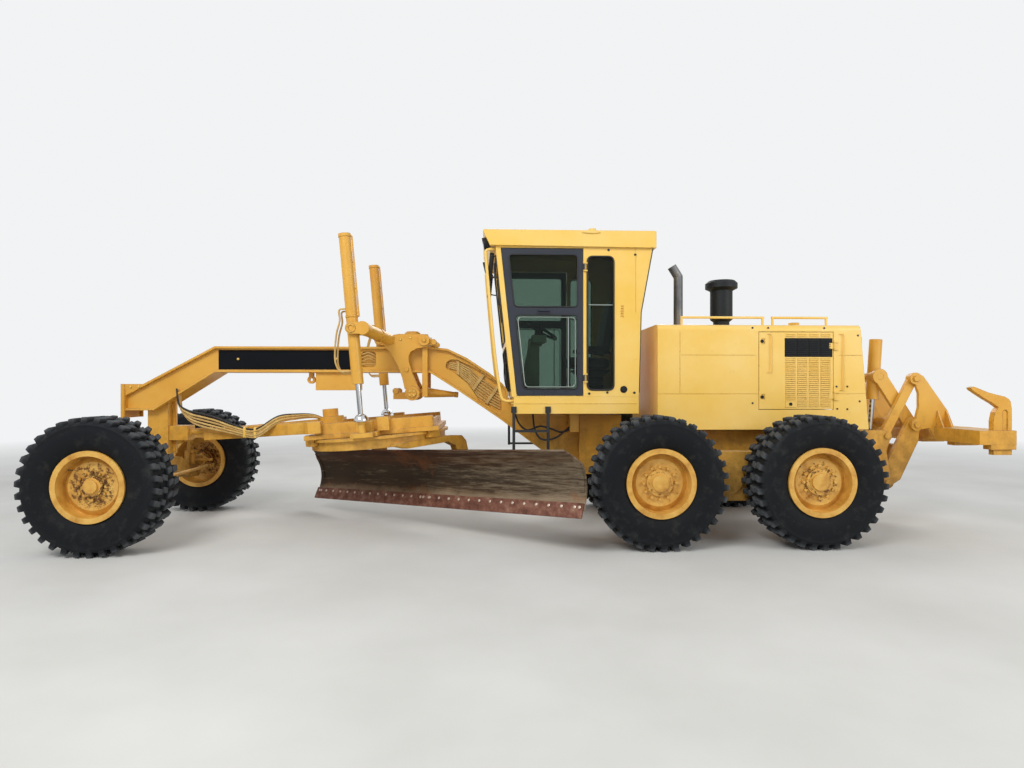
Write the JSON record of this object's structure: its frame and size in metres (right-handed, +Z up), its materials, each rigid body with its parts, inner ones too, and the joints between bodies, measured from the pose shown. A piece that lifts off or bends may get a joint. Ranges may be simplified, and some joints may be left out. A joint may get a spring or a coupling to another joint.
{
  "type": "motor grader",
  "caption": "Road grader with a long arched neck, tandem rear wheels, a glazed cab, a turning curved blade and a folding rear ripper.",
  "frame": {"origin": "on the ground, on the centre plane, halfway between the two tandem axles", "axes": "+X to the front of the machine, +Y to its left side, +Z up"},
  "size_m": [10.205, 3.0041, 3.398],
  "materials": {
    "frame_yellow": "worn satin paint",
    "cab_yellow": "worn satin paint",
    "hood_yellow": "worn satin paint",
    "engine_grey": "oily cast metal",
    "exhaust_metal": "heat-stained steel",
    "cleaner_black": "matte",
    "tyre": "dusty rubber",
    "rim_yellow": "dusty paint",
    "rod_chrome": "polished",
    "blade_steel": "rusty worn steel",
    "edge_steel": "rusty worn steel",
    "door_blue": "dark satin paint",
    "glass": "tinted glass",
    "seat_black": "matte fabric",
    "console_grey": "matte",
    "rail_black": "satin paint",
    "hose": "dusty rubber"
  },
  "bodies": {
    "rear_frame": {"rear_frame": "frame_yellow", "tandem_cases": "frame_yellow", "engine_block": "engine_grey", "engine_hood": "hood_yellow", "exhaust_stack": "exhaust_metal", "precleaner": "cleaner_black"},
    "engine_door_left": {"engine_door_left": "hood_yellow"},
    "engine_door_right": {"engine_door_right": "hood_yellow"},
    "wheel_front_left": {"rim_front_left": "rim_yellow", "tyre_front_left": "tyre"},
    "wheel_front_right": {"rim_front_right": "rim_yellow", "tyre_front_right": "tyre"},
    "wheel_mid_left": {"rim_mid_left": "rim_yellow", "tyre_mid_left": "tyre"},
    "wheel_mid_right": {"rim_mid_right": "rim_yellow", "tyre_mid_right": "tyre"},
    "wheel_rear_left": {"rim_rear_left": "rim_yellow", "tyre_rear_left": "tyre"},
    "wheel_rear_right": {"rim_rear_right": "rim_yellow", "tyre_rear_right": "tyre"},
    "ripper_lower_link": {"ripper_lower_link": "frame_yellow"},
    "ripper_upper_link": {"ripper_upper_link": "frame_yellow"},
    "ripper_beam": {"ripper_beam": "frame_yellow", "ripper_shank": "frame_yellow"},
    "ripper_barrels": {"ripper_barrels": "frame_yellow"},
    "ripper_rods": {"ripper_rods": "rod_chrome"},
    "front_frame": {"gooseneck": "frame_yellow", "cab_base": "cab_yellow", "cab_shell": "cab_yellow", "cab_roof": "cab_yellow", "cab_glass": "glass", "seat": "seat_black", "console": "console_grey", "ladders": "rail_black", "lift_saddle": "frame_yellow", "front_axle": "frame_yellow", "hoses": "hose", "axle_hanger": "frame_yellow", "hitch_box": "frame_yellow", "grab_bars": "frame_yellow"},
    "cab_door_left": {"cab_door_left": "door_blue", "door_glass_left": "glass"},
    "cab_door_right": {"cab_door_right": "door_blue", "door_glass_right": "glass"},
    "lift_barrel_left": {"lift_barrel_left": "frame_yellow"},
    "lift_barrel_right": {"lift_barrel_right": "frame_yellow"},
    "lift_rod_left": {"lift_rod_left": "rod_chrome"},
    "lift_rod_right": {"lift_rod_right": "rod_chrome"},
    "drawbar": {"drawbar": "frame_yellow"},
    "circle": {"circle": "frame_yellow"},
    "blade_bracket": {"blade_bracket": "frame_yellow"},
    "moldboard": {"moldboard": "blade_steel", "cutting_edge": "edge_steel"},
    "lean_bracket_left": {"lean_bracket_left": "frame_yellow"},
    "lean_bracket_right": {"lean_bracket_right": "frame_yellow"},
    "lean_bar": {"lean_bar": "frame_yellow"},
    "knuckle_left": {"knuckle_left": "frame_yellow"},
    "knuckle_right": {"knuckle_right": "frame_yellow"},
    "tie_yoke": {"tie_yoke": "frame_yellow"},
    "tie_rod": {"tie_rod": "frame_yellow"}
  },
  "joints": [
    {"name": "articulation", "type": "hinge", "parent": "rear_frame", "child": "front_frame", "pos_m": [0.78, 0, 0.93], "axis": [0, 0, -1], "range_deg": [-20, 20]},
    {"name": "engine_door_left", "type": "hinge", "parent": "rear_frame", "child": "engine_door_left", "pos_m": [-1.362, 0.613, 1.85], "axis": [0, 0, 1], "range_deg": [0, 100]},
    {"name": "engine_door_right", "type": "hinge", "parent": "rear_frame", "child": "engine_door_right", "pos_m": [-1.362, -0.613, 1.85], "axis": [0, 0, -1], "range_deg": [0, 100]},
    {"name": "wheel_mid_left", "type": "hinge", "parent": "rear_frame", "child": "wheel_mid_left", "pos_m": [0.8275, 1.15, 0.685], "axis": [0, 1, 0], "continuous": true},
    {"name": "wheel_mid_right", "type": "hinge", "parent": "rear_frame", "child": "wheel_mid_right", "pos_m": [0.8275, -1.15, 0.685], "axis": [0, 1, 0], "continuous": true},
    {"name": "wheel_rear_left", "type": "hinge", "parent": "rear_frame", "child": "wheel_rear_left", "pos_m": [-0.8275, 1.15, 0.685], "axis": [0, 1, 0], "continuous": true},
    {"name": "wheel_rear_right", "type": "hinge", "parent": "rear_frame", "child": "wheel_rear_right", "pos_m": [-0.8275, -1.15, 0.685], "axis": [0, 1, 0], "continuous": true},
    {"name": "lean_left", "type": "hinge", "parent": "front_frame", "child": "lean_bracket_left", "pos_m": [6.45, 0.8, 0.55], "axis": [1, 0, 0], "range_deg": [-18, 18]},
    {"name": "steer_left", "type": "hinge", "parent": "lean_bracket_left", "child": "knuckle_left", "pos_m": [6.45, 0.8, 0.7], "axis": [0, 0, 1], "range_deg": [-50, 50]},
    {"name": "wheel_front_left", "type": "hinge", "parent": "knuckle_left", "child": "wheel_front_left", "pos_m": [6.45, 1.15, 0.685], "axis": [0, 1, 0], "continuous": true},
    {"name": "lean_right", "type": "hinge", "parent": "front_frame", "child": "lean_bracket_right", "pos_m": [6.45, -0.8, 0.55], "axis": [1, 0, 0], "range_deg": [-18, 18]},
    {"name": "steer_right", "type": "hinge", "parent": "lean_bracket_right", "child": "knuckle_right", "pos_m": [6.45, -0.8, 0.7], "axis": [0, 0, 1], "range_deg": [-50, 50]},
    {"name": "wheel_front_right", "type": "hinge", "parent": "knuckle_right", "child": "wheel_front_right", "pos_m": [6.45, -1.15, 0.685], "axis": [0, 1, 0], "continuous": true},
    {"name": "lean_bar", "type": "hinge", "parent": "lean_bracket_left", "child": "lean_bar", "pos_m": [6.56, 0.8, 0.96], "axis": [1, 0, 0], "range_deg": [-18, 18]},
    {"name": "tie_yoke", "type": "hinge", "parent": "knuckle_left", "child": "tie_yoke", "pos_m": [6.22, 0.8, 0.64], "axis": [0, 0, 1], "range_deg": [-50, 50]},
    {"name": "tie_rod", "type": "hinge", "parent": "tie_yoke", "child": "tie_rod", "pos_m": [6.22, 0.8, 0.64], "axis": [1, 0, 0], "range_deg": [-18, 18]},
    {"name": "cab_door_left", "type": "hinge", "parent": "front_frame", "child": "cab_door_left", "pos_m": [1.52, 0.743, 2.3], "axis": [0, 0, 1], "range_deg": [0, 100]},
    {"name": "cab_door_right", "type": "hinge", "parent": "front_frame", "child": "cab_door_right", "pos_m": [1.52, -0.743, 2.3], "axis": [0, 0, -1], "range_deg": [0, 100]},
    {"name": "drawbar_lift", "type": "hinge", "parent": "front_frame", "child": "drawbar", "pos_m": [6.1, 0, 1.13], "axis": [0, 1, 0], "range_deg": [-18, 4]},
    {"name": "lift_barrel_left", "type": "hinge", "parent": "front_frame", "child": "lift_barrel_left", "pos_m": [4.005, 0.85, 2.28], "axis": [0, 1, 0], "range_deg": [-6, 6]},
    {"name": "lift_rod_left", "type": "slide", "parent": "lift_barrel_left", "child": "lift_rod_left", "axis": [-0.0884, 0, -0.9961], "range_m": [-0.2, 0.72]},
    {"name": "lift_barrel_right", "type": "hinge", "parent": "front_frame", "child": "lift_barrel_right", "pos_m": [4.005, -0.85, 2.28], "axis": [0, 1, 0], "range_deg": [-6, 6]},
    {"name": "lift_rod_right", "type": "slide", "parent": "lift_barrel_right", "child": "lift_rod_right", "axis": [-0.0884, 0, -0.9961], "range_m": [-0.2, 0.72]},
    {"name": "circle_turn", "type": "hinge", "parent": "drawbar", "child": "circle", "pos_m": [3.86723, 0, 1.05495], "axis": [0.0785, 0, 0.9969], "range_deg": [-95, 0]},
    {"name": "blade_tip", "type": "hinge", "parent": "circle", "child": "blade_bracket", "pos_m": [3.51649, -0.3677, 0.53085], "axis": [-0.7637, 0.6428, 0.0601], "range_deg": [-5, 35]},
    {"name": "blade_shift", "type": "slide", "parent": "blade_bracket", "child": "moldboard", "axis": [-0.7637, 0.6428, 0.0601], "range_m": [-1.1, 0.05]},
    {"name": "ripper_lift", "type": "hinge", "parent": "rear_frame", "child": "ripper_lower_link", "pos_m": [-2.097, 0, 0.55], "axis": [0, -1, 0], "range_deg": [0, 50]},
    {"name": "ripper_upper", "type": "hinge", "parent": "rear_frame", "child": "ripper_upper_link", "pos_m": [-2.085, 0, 1.093], "axis": [0, -1, 0], "range_deg": [0, 50]},
    {"name": "ripper_beam", "type": "hinge", "parent": "ripper_lower_link", "child": "ripper_beam", "pos_m": [-2.447, 0, 1.219], "axis": [0, -1, 0], "range_deg": [-50, 0]},
    {"name": "ripper_barrels", "type": "hinge", "parent": "ripper_lower_link", "child": "ripper_barrels", "pos_m": [-2.074, 0, 1.79], "axis": [0, -1, 0], "range_deg": [-2, 12]},
    {"name": "ripper_rods", "type": "slide", "parent": "ripper_barrels", "child": "ripper_rods", "axis": [0.0645, 0, -0.9979], "range_m": [0, 0.2]}
  ],
  "couplings": [
    {"joint": "lean_right", "follows": "lean_left", "ratio": 1},
    {"joint": "steer_right", "follows": "steer_left", "ratio": 1},
    {"joint": "lean_bar", "follows": "lean_left", "ratio": -1},
    {"joint": "tie_yoke", "follows": "steer_left", "ratio": -1},
    {"joint": "tie_rod", "follows": "lean_left", "ratio": -1},
    {"joint": "lift_barrel_left", "follows": "drawbar_lift", "ratio": 0.19},
    {"joint": "lift_rod_left", "follows": "drawbar_lift", "m_per_rad": -2.17},
    {"joint": "lift_barrel_right", "follows": "drawbar_lift", "ratio": 0.19},
    {"joint": "lift_rod_right", "follows": "drawbar_lift", "m_per_rad": -2.17},
    {"joint": "ripper_upper", "follows": "ripper_lift", "ratio": 1},
    {"joint": "ripper_beam", "follows": "ripper_lift", "ratio": -1},
    {"joint": "ripper_barrels", "follows": "ripper_lift", "ratio": 0.1642},
    {"joint": "ripper_rods", "follows": "ripper_lift", "m_per_rad": 0.1862}
  ]
}
